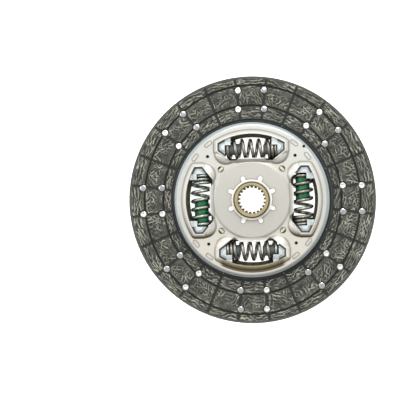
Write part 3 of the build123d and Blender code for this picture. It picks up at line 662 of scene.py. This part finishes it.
bushLook = {
    "main": (0.98, 0.975, 0.95), "shade": (0.96, 0.955, 0.93), "dark": (0.88, 0.87, 0.83),
    "paintedShade": (0.20, 0.19, 0.14), "light": (0.98, 0.98, 0.95), "edge": 0.3, "gloss": 0.45,
    "reach": 0.5, "power": 0.8,
}
dress(makeMouldedMaterial("bushResin", bushLook), "hub_bush")


thrustLook = {
    "main": (0.20, 0.17, 0.12), "shade": (0.15, 0.13, 0.09), "dark": (0.08, 0.07, 0.05),
    "paintedShade": (0.05, 0.045, 0.03), "light": (0.3, 0.26, 0.2), "edge": 0.3, "gloss": 0.5,
    "reach": 1.0, "power": 1.1,
}
dress(makeMouldedMaterial("thrustResin", thrustLook), "thrust_bush")


washerLook = {
    "main": (0.13, 0.10, 0.07), "shade": (0.09, 0.075, 0.055), "dark": (0.04, 0.035, 0.03),
    "paintedShade": (0.03, 0.025, 0.02), "light": (0.2, 0.17, 0.13), "edge": 0.2, "gloss": 0.65,
    "reach": 1.0, "power": 1.1,
}
dress(makeMouldedMaterial("frictionWasher", washerLook), "friction_washer")
print("CAD pieces dressed")


# small helpers for modelling; sizes from here on are in metres

def addDisc(name, radius, centre, sides, turn=(0, 0, 0)):
    bpy.ops.object.select_all(action="DESELECT")
    bpy.ops.mesh.primitive_circle_add(vertices=sides, radius=radius, fill_type="NGON",
                                      location=centre, rotation=turn)
    piece = bpy.context.object
    piece.name = name
    return piece


def beginEdit(piece):
    bpy.context.view_layer.objects.active = piece
    piece.select_set(True)
    bpy.ops.object.mode_set(mode="EDIT")
    bpy.ops.mesh.select_mode(type="FACE")
    bpy.ops.mesh.select_all(action="SELECT")


def closeEdit(smoothAngle):
    bpy.ops.mesh.select_all(action="SELECT")
    bpy.ops.mesh.remove_doubles(threshold=0.000001)
    bpy.ops.mesh.normals_make_consistent(inside=False)
    bpy.ops.object.mode_set(mode="OBJECT")
    bpy.ops.object.transform_apply(location=True, rotation=True, scale=True)
    bpy.ops.object.shade_smooth_by_angle(angle=math.radians(smoothAngle))


def extrudeBy(move):
    bpy.ops.mesh.extrude_region_move(TRANSFORM_OT_translate={"value": move})


def copyPiece(source, name, move):
    made = source.copy()
    made.data = source.data.copy()
    made.name = name
    made.data.transform(move)
    bpy.context.collection.objects.link(made)
    return made


# damper springs: the wire is extruded along the coil a step at a time;
# each stretch is a number of turns and the coil's pitch

springSizes = {
    "coilRadius": 0.009475, "wireRadius": 0.001775, "pitchCircle": 0.053, "middleHeight": 0.00935,
    "halfLength": 0.0274, "start": -0.0265, "wireSides": 16, "stepsPerTurn": 24, "smoothAngle": 40,
    "stretches": ((0.6, 0.0036), (4.9, 0.00872), (2.26, 0.0036)),
    "places": {"top": 0, "left": 90, "bottom": 180, "right": 270},
}
coilLook = {
    "main": (0.46, 0.45, 0.395), "shade": (0.32, 0.31, 0.265), "dark": (0.10, 0.095, 0.08),
    "paintedShade": (0.02, 0.018, 0.014), "light": (0.66, 0.63, 0.57), "edge": 0.2, "metallic": 0.9, "gloss": 0.22,
    "depth": 0.02, "blotchSize": 5.0, "reach": 3.5, "power": 1.5,
    "grimeShare": 0.85, "grimeFacing": (0.25, 0.75),
}
# painted light: the left spring's wire is the same steel, painted paler and greener
sideCoilLook = {  # the left spring's wire is paler and greener
    **coilLook, "main": (0.56, 0.62, 0.56), "shade": (0.38, 0.43, 0.38), "dark": (0.10, 0.12, 0.10),
}


def makeSpring():
    sizes = springSizes
    centre = Vector((0, sizes["pitchCircle"], sizes["middleHeight"]))
    lead = math.atan2(sizes["stretches"][0][1], 2 * math.pi * sizes["coilRadius"])
    first = centre + Vector((sizes["start"], 0, -sizes["coilRadius"]))
    spring = addDisc("springForm", sizes["wireRadius"], first, sizes["wireSides"], (math.pi / 2, 0, -lead))
    beginEdit(spring)
    for turns, pitch in sizes["stretches"]:
        steps = round(turns * sizes["stepsPerTurn"])
        for step in range(steps):
            extrudeBy((pitch * turns / steps, 0, 0))
            bpy.ops.transform.rotate(value=-2 * math.pi * turns / steps, orient_axis="X",
                                     orient_type="GLOBAL", center_override=centre)
    for side in (-1, 1):  # ground ends
        bpy.ops.mesh.select_all(action="SELECT")
        bpy.ops.mesh.bisect(plane_co=(side * sizes["halfLength"], 0, 0), plane_no=(side, 0, 0),
                            use_fill=True, clear_outer=True)
    closeEdit(sizes["smoothAngle"])
    return spring


def makeCoilMaterial(name, look):
    # spring wire, with painted shade where it doesn't face up or down
    material = makeSteelMaterial(name, look)
    tree, shader, colour = reopenMaterial(material)
    facing = splitVector(tree, addNode(tree, "ShaderNodeNewGeometry").outputs["Normal"])[2]
    # painted shade on the sides of the wire
    side = fade(tree, calc(tree, "ABSOLUTE", facing), *look["grimeFacing"], look["grimeShare"], 0.0)
    feed(tree, shader["Base Color"], layer(tree, colour, look["paintedShade"], side))
    return material


coilSteel = makeCoilMaterial("coilSteel", coilLook)
sideCoilSteel = makeCoilMaterial("sideCoilSteel", sideCoilLook)
springForm = makeSpring()
springForm.data.materials.append(coilSteel)
for place, angle in springSizes["places"].items():
    turned = Matrix.Rotation(math.radians(angle), 4, "Z")
    spring = copyPiece(springForm, f"coiledSpring_{place}", turned)
    if place == "left":
        spring.data.materials[0] = sideCoilSteel
    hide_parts(f"damper_spring_{place}")
    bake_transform(spring)
bpy.data.objects.remove(springForm)
print("damper springs coiled")


# facing rivets: rolled tail, shank and domed head, built up ring by ring from the hollow tail;
# each ring is a radius and a height in millimetres

rivetSizes = {
    "sides": 32, "column": 0.01375, "rows": (0.0955, 0.1155), "groups": 8, "smoothAngle": 50,
    "hollowRadius": 0.0008, "hollowFloor": -0.00045,
    "rings": ((1.2, -0.62), (1.7, -0.76), (2.4, -0.8), (3.1, -0.74), (3.5, -0.5), (3.6, -0.25),
              (3.5, -0.03), (2.0, 0.0), (2.0, 2.0), (3.75, 2.0), (3.9, 2.12), (3.86, 2.32),
              (3.6, 2.56), (3.1, 2.76), (2.4, 2.90), (1.5, 2.98), (0.6, 3.0)),
    "sets": {"frontFacingRivets": ("front_facing_rivets", 0),
             "rearFacingRivets": ("rear_facing_rivets", 180)},
}
headLook = {
    "main": (0.56, 0.58, 0.585), "shade": (0.44, 0.46, 0.47), "dark": (0.26, 0.275, 0.28),
    "paintedShade": (0.05, 0.055, 0.055), "light": (0.80, 0.82, 0.82), "edge": 0.35, "metallic": 0.85, "gloss": 0.2,
    "depth": 0.008, "blotchSize": 3.0, "reach": 1.0, "power": 1.0, "headStart": (1.0, 1.4),
}
tailLook = {"main": (0.95, 0.95, 0.93), "shade": (0.90, 0.90, 0.87), "blotchSize": 2.0, "gloss": 0.32}


def makeRivet():
    sizes = rivetSizes
    centre = Vector((sizes["rows"][0], -sizes["column"], sizes["hollowFloor"]))
    rivet = addDisc("rivetForm", sizes["hollowRadius"], centre, sizes["sides"])
    beginEdit(rivet)
    radius, height = sizes["hollowRadius"] / millimetre, sizes["hollowFloor"] / millimetre
    for nextRadius, nextHeight in sizes["rings"]:
        extrudeBy((0, 0, (nextHeight - height) * millimetre))
        growth = nextRadius / radius
        bpy.ops.transform.resize(value=(growth, growth, 1), center_override=centre)
        radius, height = nextRadius, nextHeight
    closeEdit(sizes["smoothAngle"])
    return rivet


def placeRivets(name, form, turnedOver):
    copies = []
    for index in range(rivetSizes["groups"]):
        around = Matrix.Rotation(math.radians(360 / rivetSizes["groups"] * index), 4, "Z")
        for row in rivetSizes["rows"]:
            outward = Matrix.Translation((row - rivetSizes["rows"][0], 0, 0))
            copies.append(copyPiece(form, f"{name}Part", around @ turnedOver @ outward))
    bpy.ops.object.select_all(action="DESELECT")
    for part in copies:
        part.select_set(True)
    bpy.context.view_layer.objects.active = copies[0]
    bpy.ops.object.join()
    copies[0].name = name
    return copies[0]


def makeRivetMaterial():
    # bright flattened tails near the middle of the pair, blue-grey heads further out; the tails' brightness
    # is a painted reflection of the bright overhead on the same steel
    material = makeSteelMaterial("rivetSteel", headLook)
    tree, shader, colour = reopenMaterial(material)
    head = fade(tree, calc(tree, "ABSOLUTE", heightOf(tree)), *headLook["headStart"])
    # painted reflection: the tails are painted near white
    blotch = useMask(tree, mottle, Size=tailLook["blotchSize"])
    tail = blendColours(tree, blotch, tailLook["main"], tailLook["shade"])
    feed(tree, shader["Base Color"], blendColours(tree, head, tail, colour))
    feed(tree, shader["Roughness"], spread(tree, head, tailLook["gloss"], headLook["gloss"]))
    return material


rivetForm = makeRivet()
rivetForm.data.materials.append(makeRivetMaterial())
for name, (node, turn) in rivetSizes["sets"].items():
    rivets = placeRivets(name, rivetForm, Matrix.Rotation(math.radians(turn), 4, "X"))
    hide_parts(node)
    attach(rivets, "plates")
bpy.data.objects.remove(rivetForm)
print("facing rivets set")


# floor, light and camera

studio = {
    "floorHeight": -0.00435, "floorSize": 8, "floorColour": (0.93, 0.93, 0.92),
    "floorShade": (0.91, 0.91, 0.90), "floorBlotch": {"Size": 300.0, "Low": 0.2, "High": 0.8},
    "floorRoughness": 0.9, "glowColour": (1, 1, 0.99, 1), "floorGlow": 0.95,
    "zenith": (0.80, 0.80, 0.78), "zenithStart": (0.62, 0.95),
    "bright": (1.15, 1.15, 1.15), "dark": (0.13, 0.09, 0.045), "darkSide": (-0.65, 0.1),
    "lamps": {
        "topLamp": {"place": (0.1, 0.75, 1.45), "size": 0.6, "power": 8.5, "glossy": True},
        "sideLamp": {"place": (-0.9, 0.1, 1.3), "size": 0.6, "power": 2.5, "glossy": True},
        "fillLamp": {"place": (0.2, -0.7, 1.3), "size": 0.8, "power": 4.0, "glossy": False},
    },
    "cameraPlace": (0.0377, 0, 1.2037), "cameraTarget": (0, 0, 0.0043), "cameraRoll": -0.8,
    "lens": 102.63, "sensorWidth": 36, "shift": (-0.1307, -0.0006), "clip": (0.05, 20),
}


def makeFloor():
    bpy.ops.object.select_all(action="DESELECT")
    bpy.ops.mesh.primitive_plane_add(size=studio["floorSize"], location=(0, 0, studio["floorHeight"]))
    floor = bpy.context.object
    floor.name = "studioFloor"
    bpy.ops.object.transform_apply(location=True)
    material, tree, shader = startMaterial("paleFloor")
    blotch = useMask(tree, mottle, **studio["floorBlotch"])
    colour = blendColours(tree, blotch, studio["floorColour"], studio["floorShade"])
    feed(tree, shader["Base Color"], colour)
    shader["Roughness"].default_value = studio["floorRoughness"]
    shader["Emission Color"].default_value = studio["glowColour"]
    shader["Emission Strength"].default_value = studio["floorGlow"]
    # seen from below, the floor lets the view through
    clear = addNode(tree, "ShaderNodeBsdfTransparent")
    mixed = addNode(tree, "ShaderNodeMixShader")
    feed(tree, mixed.inputs[0], addNode(tree, "ShaderNodeNewGeometry").outputs["Backfacing"])
    feed(tree, mixed.inputs[1], tree.nodes["Principled BSDF"].outputs[0])
    feed(tree, mixed.inputs[2], clear.outputs[0])
    feed(tree, tree.nodes["Material Output"].inputs["Surface"], mixed.outputs[0])
    floor.data.materials.append(material)


def makeSky():
    sky = bpy.data.worlds.new("softStudio")
    sky.use_nodes = True
    bpy.context.scene.world = sky
    tree = sky.node_tree
    parts = splitVector(tree, addNode(tree, "ShaderNodeTexCoord").outputs["Generated"])
    sides = blendColours(tree, fade(tree, parts[1], *studio["darkSide"]), studio["dark"], studio["bright"])
    colour = layer(tree, sides, studio["zenith"], fade(tree, parts[2], *studio["zenithStart"]))
    feed(tree, tree.nodes["Background"].inputs["Color"], colour)


def makeLamp(name, settings):
    data = bpy.data.lights.new(name, "AREA")
    data.shape, data.size, data.energy = "DISK", settings["size"], settings["power"]
    lamp = bpy.data.objects.new(name, data)
    lamp.location = settings["place"]
    lamp.visible_glossy = settings["glossy"]
    lamp.rotation_euler = (-lamp.location).to_track_quat("-Z", "Y").to_euler()  # aimed at the origin
    bpy.context.collection.objects.link(lamp)


def makeCamera():
    data = bpy.data.cameras.new("studioCamera")
    data.lens, data.sensor_width = studio["lens"], studio["sensorWidth"]
    data.shift_x, data.shift_y = studio["shift"]
    data.clip_start, data.clip_end = studio["clip"]
    camera = bpy.data.objects.new("studioCamera", data)
    camera.location = studio["cameraPlace"]
    back = (camera.location - Vector(studio["cameraTarget"])).normalized()
    right = Vector((0, 1, 0)).cross(back).normalized()
    look = Matrix((right, back.cross(right), back)).transposed()
    camera.rotation_euler = (look @ Matrix.Rotation(math.radians(studio["cameraRoll"]), 3, "Z")).to_euler()
    bpy.context.collection.objects.link(camera)
    bpy.context.scene.camera = camera


makeFloor()
makeSky()
for name, settings in studio["lamps"].items():
    makeLamp(name, settings)
makeCamera()
bpy.context.scene.view_settings.view_transform = "Standard"
print("studio set")
